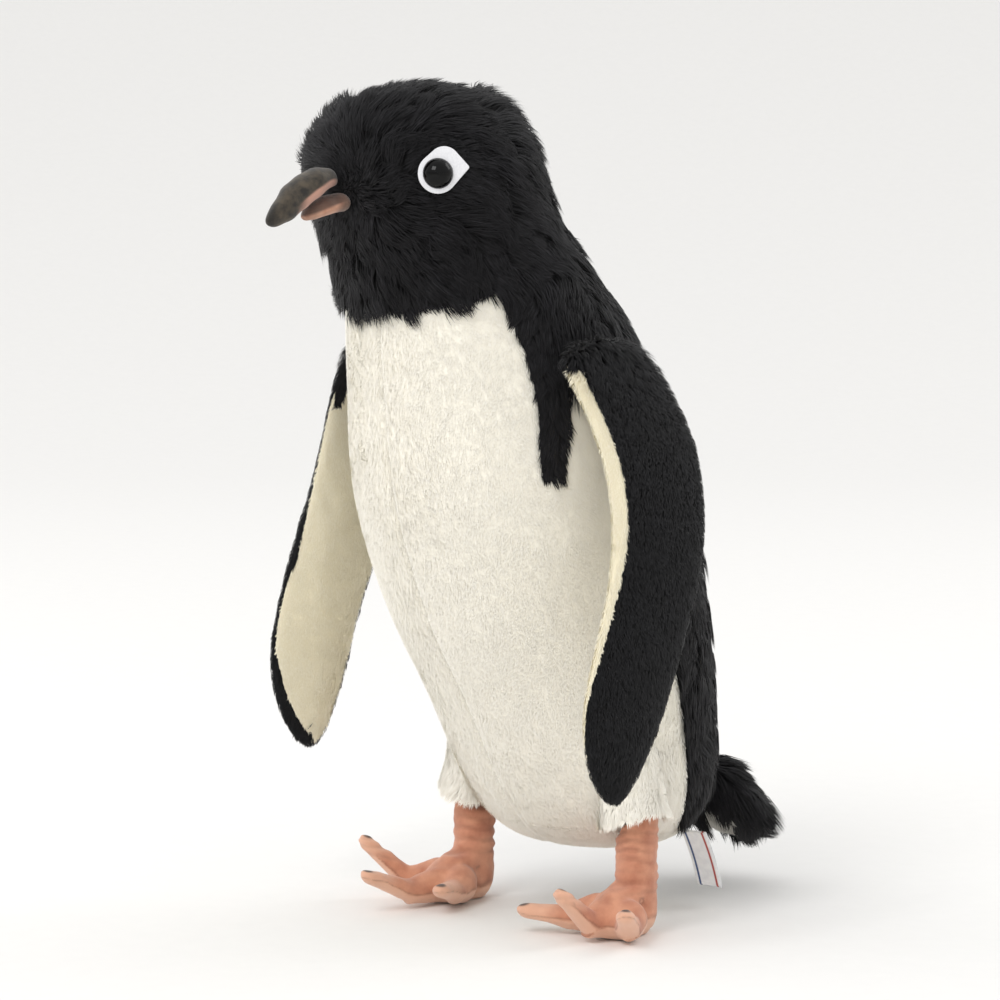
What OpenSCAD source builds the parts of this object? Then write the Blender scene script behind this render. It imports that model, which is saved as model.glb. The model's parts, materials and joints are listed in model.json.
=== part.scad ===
/* [Body] */
// Height of the neck seam at its centre
neck_z = 227; // [222:1:232]
// Height of the underside of the body
base_z = 24; // [22:1:26]
// Widest half-width of the body
body_half_w = 56; // [52:1:60]
// Deepest half-depth of the body
body_half_d = 59; // [55:1:62]
// Lean of the neck seam, front edge down
neck_tilt = 18; // [14:1:20]
// Thickness of the pile fabric's backing
skin_t = 2.2; // [1.8:0.1:2.6]

/* [Head] */
// Height of the crown
crown_z = 289; // [284:1:294]
// Widest half-width of the head
head_half_w = 38; // [36:1:40]
// Diameter of the glossy eye
eye_d = 10; // [9:0.2:11]
// Length of the felt patch behind the eye
patch_len = 17; // [16:0.5:18]
// Length of the beak in front of the face
beak_len = 27; // [24:1:29]

/* [Flippers] */
// Height of the shoulder hinge
shoulder_z = 205; // [202:1:207]
// Distance of the shoulder hinge from the middle
shoulder_x = 52.5; // [52.5:0.5:56]
// Thickness of the short pile fabric on the flippers and the tail
thin_skin = 1.3; // [1:0.1:1.5]

/* [Legs] */
// Distance of each leg from the middle
leg_x = 42; // [40:1:43]
// Diameter of the leg
leg_d = 14; // [13:0.5:15]
// Reach of the middle toe in front of the leg
toe_reach = 53; // [46:1:55]
// Thickness of the suede
suede_t = 1.2; // [1:0.1:1.4]
// Diameter of the steel wire in the leg
wire_d = 2; // [1.6:0.2:2.4]

/* [Tail and label] */
// Widest half-width of the tail
tail_half_w = 22; // [18:1:25]
// Width of the woven label
label_w = 10; // [8:1:12]
// Length of the woven label
label_len = 24; // [20:1:28]

/* [Hidden] */
$fn = 48;
neck_gap = 0.5; // between the head and the body
fill_gap = 0.8; // between a flat-sided skin and the filling behind it
seat = 0.25; // between a thin lining and its filling
origin_y = 10.43; // puts the middle of the whole toy over the origin

// Body rings, bottom to neck: [y, height share, lean share, width share, depth share]
body_form = [
  [24, 0, 0, 0, 0],
  [23, 0.01, 0, 0.46, 0.4],
  [20, 0.05, 0, 0.68, 0.6],
  [16, 0.13, 0, 0.82, 0.73],
  [8.5, 0.27, 0, 0.88, 0.84],
  [-1.5, 0.4, 0, 0.95, 0.94],
  [-11, 0.55, 0, 1, 0.99],
  [-18.5, 0.68, 0.15, 0.97, 0.975],
  [-27, 0.83, 0.5, 0.885, 0.875],
  [-36, 0.925, 0.78, 0.79, 0.765],
  [-44, 1, 1, 0.73, 0.64]
];
body_rows = [
  for (r = body_form)
    [0, r[0], base_z + r[1] * (neck_z - base_z), r[2] * neck_tilt, r[3] * body_half_w, r[4] * body_half_d]
];
last_body = len(body_rows) - 1;
base_row = 2; // the base seam runs round this ring

// Head rings, neck to crown: [y, height share, lean share, half-width share, half-depth]
head_form = [
  [-44, 0, 1, 1.08, 37.8],
  [-50.5, 0.21, 0.67, 1.02, 36.7],
  [-56.5, 0.44, 0.33, 0.99, 37.6],
  [-60.3, 0.66, 0, 0.96, 37.5],
  [-60, 0.84, 0, 0.79, 31.5],
  [-58.5, 0.95, 0, 0.5, 20.5],
  [-57.5, 1, 0, 0, 0]
];
head_rows = [
  for (r = head_form)
    [0, r[0], neck_z + r[1] * (crown_z - neck_z), r[2] * neck_tilt, r[3] * head_half_w, r[4]]
];
last_head = len(head_rows) - 1;

// Flipper rings, tip to shoulder: [x from the shoulder, y, height share, half-thickness, half-chord]
flipper_form = [
  [25.5, -45.5, 0, 0, 0],
  [25.8, -45.7, 0.02, 2, 4.5],
  [26.5, -45.2, 0.075, 3.4, 9],
  [28, -43.6, 0.17, 4.2, 14.6],
  [29, -40.5, 0.27, 4.6, 18.4],
  [29.3, -35.5, 0.37, 4.8, 20],
  [28.5, -30.2, 0.47, 4.8, 20.6],
  [26.5, -25.2, 0.57, 4.8, 21],
  [24, -23.2, 0.67, 4.8, 20.6],
  [19.5, -22.4, 0.77, 4.8, 21],
  [12, -24.3, 0.87, 4.7, 21],
  [4, -26.8, 0.95, 4.4, 19],
  [0.8, -27.2, 0.99, 3.6, 15.5],
  [0, -27.2, 1.012, 0, 0]
];
tip_z = 55.5;
flipper_rows = [
  for (r = flipper_form)
    [shoulder_x + r[0], r[1], tip_z + r[2] * (shoulder_z - tip_z), 0, r[3], r[4]]
];
last_flipper = len(flipper_rows) - 1;

// Tail rings, root to tip: [y, z, half-width share, half-thickness]
tail_form = [
  [62.5, 46.5, 0, 0],
  [66, 44.5, 0.7, 7.5],
  [75, 38.5, 1, 9.5],
  [86, 31.5, 1, 8.5],
  [96, 25.5, 0.78, 6.3],
  [103, 22, 0.4, 3.5],
  [106, 20.6, 0, 0]
];
tail_slope = 31;
tail_rows = [for (r = tail_form) [0, r[0], r[1], 90 - tail_slope, r[2] * tail_half_w, r[3]]];
last_tail = len(tail_rows) - 1;

// Seams on the body, in degrees round from the front: [ring, angle]
tab_front = [[2, 56], [7, 60.5], [8, 65], [9, 67], [10, 65]];
tab_rear = [[2, 64], [6.5, 64], [7, 63.5], [7.5, 75], [8, 80], [9, 86], [10, 88]];
back_edge = [[2, 98], [6, 97], [7, 94], [8, 88], [9, 93], [10, 96]];
tab_tip = 7; // ring of the tab's lower end
armpit = 8; // ring where the white of the flank ends

// Smooth curve through the rows, u counted in rows
function curve(p0, p1, p2, p3, t) =
  0.5 * (2 * p1 + (p2 - p0) * t + (2 * p0 - 5 * p1 + 4 * p2 - p3) * t * t
    + (3 * p1 - p0 - 3 * p2 + p3) * t * t * t);
function row_at(rows, u) =
  let (i = min(floor(u), len(rows) - 2), n = len(rows) - 1)
  curve(rows[max(i - 1, 0)], rows[i], rows[i + 1], rows[min(i + 2, n)], u - i);

// Point on a ring, a degrees round from the front; inset goes into the form
function ring_point(rows, u, a, inset, lift) =
  let (r = row_at(rows, u), w = max(r[4] - inset, 0), d = max(r[5] - inset, 0))
  [
    r[0] + w * sin(a),
    r[1] - d * cos(a) * cos(r[3]),
    r[2] - d * cos(a) * sin(r[3]) + inset * lift
  ];

// Rises into the closed end of a form, so that the wall keeps its thickness there
function body_point(u, a, inset) = ring_point(body_rows, u, a, inset, max(0, 1 - u / 3));
function head_point(u, a, inset) =
  ring_point(head_rows, u, a, inset, -max(0, 1 - (last_head - u) / 2));
function flipper_point(u, a, inset) =
  ring_point(flipper_rows, u, a, inset, max(0, 1 - u) - max(0, 1 - (last_flipper - u)));
function tail_point(u, a, inset) =
  let (along = max(0, 1 - u) - max(0, 1 - (last_tail - u)), p = ring_point(tail_rows, u, a, inset, 0))
  p + inset * along * [0, cos(tail_slope), -sin(tail_slope)];

// Angle of column j of the half body, from the front seam to the back
front_cells = 5;
flank_cells = 3;
back_cells = 6;
half_cells = front_cells + 1 + flank_cells + back_cells;
function blend(a, b, t) = a + (b - a) * t;
function column_angle(u, j) =
  let (f = lookup(u, tab_front), t = lookup(u, tab_rear), b = lookup(u, back_edge), k = j - front_cells - 1)
  j <= front_cells ? blend(0, f, j / front_cells)
  : k <= flank_cells ? blend(t, b, k / flank_cells)
  : blend(b, 180, (k - flank_cells) / back_cells);
function body_angle(u, j) = j <= half_cells ? column_angle(u, j) : 360 - column_angle(u, 2 * half_cells - j);
function side_column(j) = j < half_cells ? j : 2 * half_cells - 1 - j;

// Which cloth a cell of the body belongs to
steps = 2; // rows of cells to a ring of the form
function is_tab(i, j) = i / steps >= tab_tip && side_column(j) == front_cells;
function is_back(i, j) =
  side_column(j) > front_cells + flank_cells
  || (i / steps >= armpit && side_column(j) > front_cells);

// A thin shell made of the cells of a grid that keep() picks; k is 0 outside and 1 inside.
// first_pole and last_pole say that the first or last row is a single point.
module shell(rows, columns, keep, place, first_pole = false, last_pole = false) {
  n = columns;
  id = function(i, j, k)
    (k * (rows + 1) + i) * n + ((first_pole && i == 0) || (last_pole && i == rows) ? 0 : j % n);
  kept = function(i, j) i >= 0 && i < rows && keep(i, (j + n) % n);
  quad = function(a, b, c, d) concat(a == b || b == c ? [] : [[a, b, c]], a == d || c == d ? [] : [[a, c, d]]);
  points = [for (k = [0, 1]) for (i = [0:rows]) for (j = [0:n - 1]) place(i, j, k)];
  faces = [
    for (i = [0:rows - 1]) for (j = [0:n - 1]) if (kept(i, j))
      each concat(
        quad(id(i, j, 0), id(i + 1, j, 0), id(i + 1, j + 1, 0), id(i, j + 1, 0)),
        quad(id(i, j, 1), id(i, j + 1, 1), id(i + 1, j + 1, 1), id(i + 1, j, 1)),
        kept(i - 1, j) || (first_pole && i == 0) ? []
          : quad(id(i, j, 0), id(i, j + 1, 0), id(i, j + 1, 1), id(i, j, 1)),
        kept(i + 1, j) || (last_pole && i == rows - 1) ? []
          : quad(id(i + 1, j, 0), id(i + 1, j, 1), id(i + 1, j + 1, 1), id(i + 1, j + 1, 0)),
        kept(i, j - 1) ? [] : quad(id(i, j, 0), id(i, j, 1), id(i + 1, j, 1), id(i + 1, j, 0)),
        kept(i, j + 1) ? [] : quad(id(i, j + 1, 0), id(i + 1, j + 1, 0), id(i + 1, j + 1, 1), id(i, j + 1, 1))
      )
  ];
  polyhedron(points, faces, convexity = 8);
}

// A solid skinned over rows of points, with a flat or pointed end at each side
module filled(rows, columns, place) {
  n = columns;
  top = (rows + 1) * n;
  middle = function(i) [for (j = [0:n - 1]) 1] * [for (j = [0:n - 1]) place(i, j)] / n;
  points = concat([for (i = [0:rows]) for (j = [0:n - 1]) place(i, j)], [middle(0), middle(rows)]);
  faces = concat(
    [for (i = [0:rows - 1]) for (j = [0:n - 1]) [i * n + j, (i + 1) * n + j, (i + 1) * n + (j + 1) % n]],
    [for (i = [0:rows - 1]) for (j = [0:n - 1]) [i * n + j, (i + 1) * n + (j + 1) % n, i * n + (j + 1) % n]],
    [for (j = [0:n - 1]) [top, j, (j + 1) % n]],
    [for (j = [0:n - 1]) [top + 1, rows * n + (j + 1) % n, rows * n + j]]
  );
  polyhedron(points, faces, convexity = 8);
}

module placed(side = 1) {
  translate([0, origin_y, 0])
    mirror([side < 0 ? 1 : 0, 0, 0])
      children();
}

// ---- Body ----

module body_cloth(keep) {
  placed()
    shell(
      last_body * steps, 2 * half_cells, keep,
      function(i, j, k) body_point(i / steps, body_angle(i / steps, j), k * skin_t),
      first_pole = true
    );
}

module back_skin() {
  color("#17171a")
    body_cloth(function(i, j) i >= base_row * steps && is_back(i, j));
}

module belly(left) {
  color("#f3f0e6")
    body_cloth(
      function(i, j) i >= base_row * steps && (j < half_cells) == left && !is_tab(i, j) && !is_back(i, j)
    );
}

module belly_left() {
  belly(true);
}

module belly_right() {
  belly(false);
}

module shoulder_tab(left) {
  color("#1c1c1f")
    body_cloth(function(i, j) is_tab(i, j) && (j < half_cells) == left);
}

module left_shoulder_tab() {
  shoulder_tab(true);
}

module right_shoulder_tab() {
  shoulder_tab(false);
}

module base_panel() {
  color("#efece2")
    body_cloth(function(i, j) i < base_row * steps);
}

fill_sides = 24;
bag_top = 3.5; // ring where the pellet bag ends and the stuffing begins

module body_fill(from, to, rings, inset) {
  placed()
    filled(
      rings, fill_sides,
      function(i, j) body_point(blend(from, to, i / rings), j * 360 / fill_sides, inset)
    );
}

module torso_stuffing() {
  color("#e8e6df")
    body_fill(bag_top + 0.02, last_body, 12, skin_t + fill_gap);
}

module pellet_bag() {
  color("#b9c2c9")
    body_fill(0.3, bag_top, 6, skin_t + fill_gap);
}

// ---- Head ----

head_sides = 28;
head_steps = 2;
eye_ring = 2.6;
eye_turn = 56.5; // degrees round from the front

// Moves a shape from the origin, facing -Y, to the face of the head at the eye
module at_eye(side) {
  p = head_point(eye_ring, eye_turn, 0);
  placed(side)
    translate(p)
      rotate([-6, 0, eye_turn + 2])
        rotate([90, 0, 0])
          children();
}

module above_neck() {
  translate([0, -sin(neck_tilt), cos(neck_tilt)] * neck_gap)
    children();
}

shank_d = 3;
washer_d = 9;
washer_t = 1.6;
patch_t = 1;

module head_skin() {
  color("#151517")
    difference() {
      above_neck()
        placed()
          shell(
            last_head * head_steps, head_sides, function(i, j) true,
            function(i, j, k) head_point(i / head_steps, j * 360 / head_sides, k * skin_t),
            last_pole = true
          );
      for (side = [-1, 1])
        at_eye(side)
          cylinder(d = shank_d + 0.2, h = 12, center = true);
    }
}

module head_stuffing() {
  color("#e8e6df")
    difference() {
      above_neck()
        placed()
          filled(
            10, fill_sides,
            function(i, j)
              head_point(blend(0, last_head - 0.15, i / 10), j * 360 / fill_sides, skin_t + fill_gap)
          );
      for (side = [-1, 1])
        at_eye(side)
          translate([0, 0, -9])
            cylinder(d = washer_d + 0.4, h = 12);
    }
}

module eye(side) {
  color("#050505")
    at_eye(side)
      translate([0, 0, 0.4]) {
        translate([0, 0, patch_t])
          intersection() {
            translate([0, 0, -1.6])
              sphere(d = eye_d * 1.06);
            translate([0, 0, eye_d / 2])
              cube(eye_d, center = true);
          }
        translate([0, 0, -8])
          cylinder(d = shank_d, h = 9.5);
      }
}

module left_eye() {
  eye(1);
}

module right_eye() {
  eye(-1);
}

module eye_washer(side) {
  color("#f4f4f4")
    at_eye(side)
      translate([0, 0, -skin_t - washer_t - 1.6])
        difference() {
          cylinder(d = washer_d, h = washer_t);
          translate([0, 0, -1])
            cylinder(d = shank_d + 0.1, h = washer_t + 2);
        }
}

module left_eye_washer() {
  eye_washer(1);
}

module right_eye_washer() {
  eye_washer(-1);
}

// Almond of felt: a disc round the eye drawn out to a point behind it
module eye_patch(side) {
  color("#f7f6f2")
    at_eye(side)
      translate([0, 0, 0.35])
        difference() {
          linear_extrude(patch_t)
            hull() {
              circle(d = 13.2, $fn = 40);
              translate([patch_len - 7.4, 2])
                circle(d = 1.6, $fn = 16);
              translate([2.2, 3.6])
                circle(d = 10.6, $fn = 32);
            }
          translate([0, 0, -1])
            cylinder(d = shank_d + 0.2, h = patch_t + 2);
        }
}

module left_eye_patch() {
  eye_patch(1);
}

module right_eye_patch() {
  eye_patch(-1);
}

// Beak rings, face to tip: [distance share, height, half-width, half-height]
upper_beak_form = [
  [0, 261, 8.2, 5],
  [0.27, 259.3, 7, 5.4],
  [0.6, 254.6, 5.6, 5.6],
  [0.85, 249.2, 4.4, 4.8],
  [0.96, 246, 3, 3.2],
  [1, 244.6, 1, 1]
];
lower_beak_form = [
  [-0.12, 252, 6.4, 3.2],
  [0.2, 250.4, 5.6, 2.9],
  [0.38, 248.2, 4, 2.2],
  [0.46, 246.8, 1.6, 1]
];
face_y = -98.5; // just clear of the head's cloth
beak_sides = 20;

module beak(form) {
  n = len(form) - 1;
  rings = 8;
  centre = function(u) let (r = row_at(form, u)) [face_y - beak_len * r[0], r[1]];
  placed()
    filled(
      rings, beak_sides,
      function(i, j)
        let (
          u = i * n / rings,
          r = row_at(form, u),
          c = centre(u),
          run = centre(min(u + 0.05, n)) - centre(max(u - 0.05, 0)),
          lean = atan2(-run[1], -run[0]),
          a = -j * 360 / beak_sides
        )
        [r[2] * sin(a), c[0] - r[3] * cos(a) * sin(lean), c[1] + r[3] * cos(a) * cos(lean)]
    );
}

module upper_beak() {
  color("#4b433b")
    beak(upper_beak_form);
}

module lower_beak() {
  color("#c9987c")
    beak(lower_beak_form);
}

// ---- Flippers ----

flipper_sides = 20;
rim_cells = 2; // the white lining wraps this many cells round the front edge

module flipper_cloth(side, keep) {
  placed(side)
    shell(
      last_flipper, flipper_sides, keep,
      function(i, j, k) flipper_point(i, j * 360 / flipper_sides, k * thin_skin),
      first_pole = true, last_pole = true
    );
}

module flipper_outer(side) {
  color("#1b1b1e")
    flipper_cloth(side, function(i, j) j >= rim_cells && j < flipper_sides / 2);
}

module flipper_inner(side) {
  color("#f1ecdb")
    flipper_cloth(side, function(i, j) j < rim_cells || j >= flipper_sides / 2);
}

module flipper_padding(side) {
  color("#e8e6df")
    placed(side)
      filled(
        last_flipper - 2, 16,
        function(i, j) flipper_point(i + 1, j * 360 / 16, thin_skin + seat)
      );
}

module left_flipper_outer() {
  flipper_outer(1);
}

module left_flipper_inner() {
  flipper_inner(1);
}

module left_flipper_padding() {
  flipper_padding(1);
}

module right_flipper_outer() {
  flipper_outer(-1);
}

module right_flipper_inner() {
  flipper_inner(-1);
}

module right_flipper_padding() {
  flipper_padding(-1);
}

// ---- Legs and feet ----

// Lowest height of the body over a point of the floor, found by halving; none above the limit
function in_body(x, y, u) =
  let (r = row_at(body_rows, u)) pow(x / max(r[4], 1), 2) + pow((y - r[1]) / max(r[5], 1), 2) < 1;
function body_under(x, y, low = 0, high = 5, n = 14) =
  n == 0 ? row_at(body_rows, high)[2]
  : let (mid = (low + high) / 2)
    in_body(x, y, mid) ? body_under(x, y, low, mid, n - 1) : body_under(x, y, mid, high, n - 1);

// Upright tube or rod whose top follows the underside of the body
leg_sides = 20;
module under_body_tube(side, x, y, z0, r0, r1, wall, z_cap, clear) {
  top = function(px, py) min(body_under(px, py) - clear, z_cap);
  spot = function(j, r) [x + r * cos(j * 360 / leg_sides), y + r * sin(j * 360 / leg_sides)];
  placed(side)
    shell(
      2, leg_sides, function(i, j) true,
      function(i, j, k)
        let (r = blend(r0, r1, i / 2) - k * wall, p = spot(j, r))
        [p[0], p[1], blend(z0, top(p[0], p[1]), i / 2)]
    );
}

leg_y = 0;
cuff_z = 33;
cuff_r = 11.6;

module thigh_cuff(side) {
  color("#f3f0e6")
    under_body_tube(side, leg_x, leg_y, cuff_z, cuff_r, cuff_r - 1, 2, 62, 1.4);
}

module left_thigh_cuff() {
  thigh_cuff(1);
}

module right_thigh_cuff() {
  thigh_cuff(-1);
}

// Toes: [turn from straight ahead, reach share, tip height]
left_toes = [[0, 0.7, 17], [-42, 0.76, 8], [40, 0.64, 12]];
right_toes = [[0, 1, 13.5], [-30, 0.72, 9], [42, 0.78, 19]];
heel_back = 8;
ankle_z = 13;
leg_top = 33;

module blob(p, d, fn = 12) {
  translate(p)
    sphere(d = d, $fn = fn);
}

// The whole foot and leg, shrunk all round by inset; open_top lengthens the leg upwards
module foot_form(toes, inset, open_top, fn) {
  r = leg_d / 2 - inset;
  intersection() {
    translate([leg_x - 45, -70, suede_t + inset * 0.5])
      cube([90, 100, 80]);
    union() {
      for (t = toes) {
        root = [leg_x + 12 * sin(t[0]), -14 * cos(t[0]), 7.5];
        reach = (toe_reach - 5) * t[1];
        knuckle = [leg_x + reach * 0.62 * sin(t[0]), -reach * 0.62 * cos(t[0]), 6.2];
        tip = [leg_x + reach * sin(t[0]), -reach * cos(t[0]), t[2]];
        hull() {
          blob(root, 14 - 2 * inset, fn);
          blob(knuckle, 10.5 - 2 * inset, fn);
        }
        hull() {
          blob(knuckle, 10.5 - 2 * inset, fn);
          blob(tip, 8.6 - 2 * inset, fn);
        }
      }
      hull() {
        blob([leg_x, 0, 7.6], 15.2 - 2 * inset, fn + 2);
        blob([leg_x, -14, 7.5], 15.5 - 2 * inset, fn);
      }
      hull() {
        blob([leg_x, 0, 7.6], 15.2 - 2 * inset, fn + 2);
        translate([leg_x, 0.5, ankle_z + 8])
          cylinder(r = r, h = 0.1, $fn = fn + 6);
      }
      hull() {
        blob([leg_x, -13, 8], 15 - 2 * inset, fn);
        translate([leg_x, 0.5, ankle_z + 5])
          cylinder(r = r, h = 0.1, $fn = fn + 6);
      }
      translate([leg_x, 0.5, ankle_z + 7])
        cylinder(r = r, h = leg_top - ankle_z - 7 + open_top, $fn = fn + 6);
    }
  }
}

module foot_upper(side, toes) {
  color("#dc9c78")
    placed(side)
      difference() {
        foot_form(toes, 0, 0, 12);
        foot_form(toes, suede_t, 1, 10);
      }
}

module foot_sole(side, toes) {
  color("#d89a78")
    placed(side)
      linear_extrude(suede_t - 0.05)
        union() {
          for (t = toes) {
            reach = (toe_reach - 5) * t[1] * 0.8;
            hull() {
              translate([leg_x, -6])
                circle(d = 14, $fn = 32);
              translate([leg_x + reach * sin(t[0]), -reach * cos(t[0])])
                circle(d = 8, $fn = 32);
            }
          }
          translate([leg_x, 0])
            circle(d = 14, $fn = 32);
        }
}

module foot_stuffing(side, toes) {
  color("#e8e6df")
    placed(side)
      difference() {
        foot_form(toes, suede_t + seat, 0, 8);
        translate([leg_x, 0.5, 6])
          cylinder(d = wire_d + 0.2, h = 60, $fn = 32);
      }
}

module leg_wire(side) {
  color("#9aa0a6")
    placed(side)
      translate([leg_x, 0.5, 7])
        cylinder(d = wire_d, h = leg_top - 8);
}

module left_foot_upper() {
  foot_upper(1, left_toes);
}

module left_foot_sole() {
  foot_sole(1, left_toes);
}

module left_foot_stuffing() {
  foot_stuffing(1, left_toes);
}

module left_leg_wire() {
  leg_wire(1);
}

module right_foot_upper() {
  foot_upper(-1, right_toes);
}

module right_foot_sole() {
  foot_sole(-1, right_toes);
}

module right_foot_stuffing() {
  foot_stuffing(-1, right_toes);
}

module right_leg_wire() {
  leg_wire(-1);
}

// ---- Tail and label ----

tail_sides = 20;

module tail_cloth(keep) {
  placed()
    shell(
      last_tail, tail_sides, keep,
      function(i, j, k) tail_point(i, (tail_sides - j) * 360 / tail_sides, k * thin_skin),
      first_pole = true, last_pole = true
    );
}

function tail_above(j) = j >= tail_sides / 4 && j < tail_sides * 3 / 4;

module tail_top() {
  color("#17171a")
    tail_cloth(function(i, j) tail_above(j));
}

module tail_underside() {
  color("#d9d5cc")
    tail_cloth(function(i, j) !tail_above(j));
}

module tail_stuffing() {
  color("#e8e6df")
    placed()
      filled(
        last_tail - 2, 16,
        function(i, j) tail_point(i + 1, -j * 360 / 16, thin_skin + seat)
      );
}

label_top = [27, 43.2, 28.2];
label_lean = 27;
label_turn = 12;
label_fold = 0.8;

module sewn_label() {
  color("#f7f7f7")
    placed()
      translate(label_top)
        rotate([label_lean, 0, label_turn])
          translate([-label_w / 2, -label_fold / 2, -label_len])
            cube([label_w, label_fold, label_len]);
}

head_skin();
head_stuffing();
upper_beak();
lower_beak();
left_eye();
right_eye();
left_eye_patch();
right_eye_patch();
left_eye_washer();
right_eye_washer();
back_skin();
belly_left();
belly_right();
left_shoulder_tab();
right_shoulder_tab();
base_panel();
torso_stuffing();
pellet_bag();
left_flipper_outer();
left_flipper_inner();
left_flipper_padding();
right_flipper_outer();
right_flipper_inner();
right_flipper_padding();
left_thigh_cuff();
right_thigh_cuff();
left_foot_upper();
left_foot_sole();
left_foot_stuffing();
left_leg_wire();
right_foot_upper();
right_foot_sole();
right_foot_stuffing();
right_leg_wire();
tail_top();
tail_underside();
tail_stuffing();
sewn_label();
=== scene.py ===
"""Visual model of a standing plush penguin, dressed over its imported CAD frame."""

import json
import logging
import math
from collections.abc import Callable, Sequence
from dataclasses import dataclass
from enum import Enum

import bmesh
import bpy
import numpy as np
from bmesh.types import BMEdge, BMesh
from bpy.types import Material, Mesh, Node, NodeSocket, Object
from mathutils import Matrix, Vector
from mathutils.bvhtree import BVHTree
from mathutils.kdtree import KDTree


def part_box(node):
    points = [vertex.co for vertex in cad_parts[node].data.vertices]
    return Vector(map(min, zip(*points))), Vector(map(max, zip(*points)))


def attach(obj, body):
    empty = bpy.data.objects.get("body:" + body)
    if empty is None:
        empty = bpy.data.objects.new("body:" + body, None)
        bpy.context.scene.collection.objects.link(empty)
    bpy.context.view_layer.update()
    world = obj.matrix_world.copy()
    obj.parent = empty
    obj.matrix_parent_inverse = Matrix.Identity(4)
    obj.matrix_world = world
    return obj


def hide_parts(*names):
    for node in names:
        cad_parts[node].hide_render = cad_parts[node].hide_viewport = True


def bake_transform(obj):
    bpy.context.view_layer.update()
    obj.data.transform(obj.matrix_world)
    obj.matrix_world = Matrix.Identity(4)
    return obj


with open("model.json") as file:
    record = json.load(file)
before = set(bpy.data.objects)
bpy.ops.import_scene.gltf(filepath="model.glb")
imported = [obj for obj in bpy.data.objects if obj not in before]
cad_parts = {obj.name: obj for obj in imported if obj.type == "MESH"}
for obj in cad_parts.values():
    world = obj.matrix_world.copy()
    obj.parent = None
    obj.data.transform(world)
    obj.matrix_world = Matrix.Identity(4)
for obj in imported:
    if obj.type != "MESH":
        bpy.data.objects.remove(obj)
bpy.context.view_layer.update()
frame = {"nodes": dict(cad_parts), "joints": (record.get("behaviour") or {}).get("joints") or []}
LOG = logging.getLogger("plush_penguin")
MM = 0.001
BODY_PRESSURE = 2.5  # of the filling, as the cloth simulation counts it
FLIPPER_PRESSURE = 1.2
SETTLING = 20  # frames that cloth gets to settle
CLOTH = 1.2  # mm thick
NECK_SEAM = 6.0  # mm to each side of the neck, where cloth is held as it settles
MOST_FIBRES = 65000  # in one piece of pile
LEAST_SHARE = 0.05  # of the full length; no fibre grows shorter
Shares = Callable[[np.ndarray], np.ndarray]


# ---- Materials ----


def linear(colour: str) -> tuple[float, ...]:
    """Turns an sRGB hex colour into linear RGBA.

    Args:
        colour: the colour as "#rrggbb".

    Returns:
        Four linear values, opaque.
    """
    channels = [int(colour[i : i + 2], 16) / 255 for i in (1, 3, 5)]
    return (*(c / 12.92 if c <= 0.04045 else ((c + 0.055) / 1.055) ** 2.4 for c in channels), 1.0)


def blank_material(name: str) -> Material:
    """A material with an empty node tree."""
    material = bpy.data.materials.new(name)
    material.use_nodes = True
    material.node_tree.nodes.clear()
    return material


def add_node(
    material: Material, kind: str, settings: dict | None = None, inputs: dict | None = None
) -> Node:
    """Adds a shader node with its settings and links.

    Args:
        material: the material whose tree gets the node.
        kind: the node's type name.
        settings: node properties to set.
        inputs: input name or number to a constant, or to the socket that feeds it.

    Returns:
        The new node.
    """
    node = material.node_tree.nodes.new(kind)
    for name, value in (settings or {}).items():
        setattr(node, name, value)
    for name, value in (inputs or {}).items():
        if isinstance(value, NodeSocket):
            material.node_tree.links.new(value, node.inputs[name])
        else:
            node.inputs[name].default_value = value
    return node


def clouds(material: Material, size: float, detail: float) -> NodeSocket:
    """Cloudy noise over the object's own space, with clouds of a size in mm."""
    place = add_node(material, "ShaderNodeTexCoord").outputs["Object"]
    inputs = {"Vector": place, "Scale": 1 / (size * MM), "Detail": detail}
    return add_node(material, "ShaderNodeTexNoise", inputs=inputs).outputs["Fac"]


def complete(
    material: Material,
    base: str,
    coats: Sequence[tuple[NodeSocket, str]],
    surface: dict,
    bump: dict | None = None,
) -> Material:
    """Lays colours over each other and shades them.

    Args:
        material: the material to complete.
        base: the lowest colour, as "#rrggbb".
        coats: for each colour over it, the socket that says how much of it shows, and the colour.
        surface: the shader's inputs besides its colour.
        bump: the inputs of a bump, where the surface has one.

    Returns:
        The same material.
    """
    colour = linear(base)
    for share, coat in coats:
        inputs = {0: share, 6: colour, 7: linear(coat)}
        colour = add_node(material, "ShaderNodeMix", {"data_type": "RGBA"}, inputs).outputs[2]
    inputs = {"Base Color": colour, **surface}
    if bump:
        inputs["Normal"] = add_node(material, "ShaderNodeBump", inputs=bump).outputs[0]
    shader = add_node(material, "ShaderNodeBsdfPrincipled", inputs=inputs)
    add_node(material, "ShaderNodeOutputMaterial", inputs={"Surface": shader.outputs[0]})
    return material


@dataclass(frozen=True)
class PileFinish:
    """Acrylic pile fabric: soft fibres over a knitted backing of the same yarn.

    The fibres read a tint and a place along their length from the mesh; the backing has
    neither, so it shows the root colour. The root colour, darker than the tip colour, is
    painted shade between the fibres and on the backing beneath them.
    """

    name: str
    root: str
    tip: str
    fleck: str
    roughness: float
    sheen: float
    mottle: float  # mm across a lighter or darker patch

    def material(self) -> Material:
        """Builds the node tree of this pile.

        Returns:
            The new material.
        """
        material = blank_material(self.name)
        along, tint = (
            add_node(material, "ShaderNodeAttribute", {"attribute_name": name}).outputs["Fac"]
            for name in ("along", "tint")
        )
        inputs = {0: tint, 1: clouds(material, self.mottle, 3.0)}
        share = add_node(material, "ShaderNodeMath", {"operation": "MULTIPLY"}, inputs).outputs[0]
        surface = {
            "Roughness": self.roughness,
            "Specular IOR Level": 0.2,
            "Sheen Weight": self.sheen,
            "Sheen Roughness": 0.5,
        }
        # the root colour, darker than the tip colour, is painted shade deep in the pile
        return complete(material, self.root, [(along, self.tip), (share, self.fleck)], surface)


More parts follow.
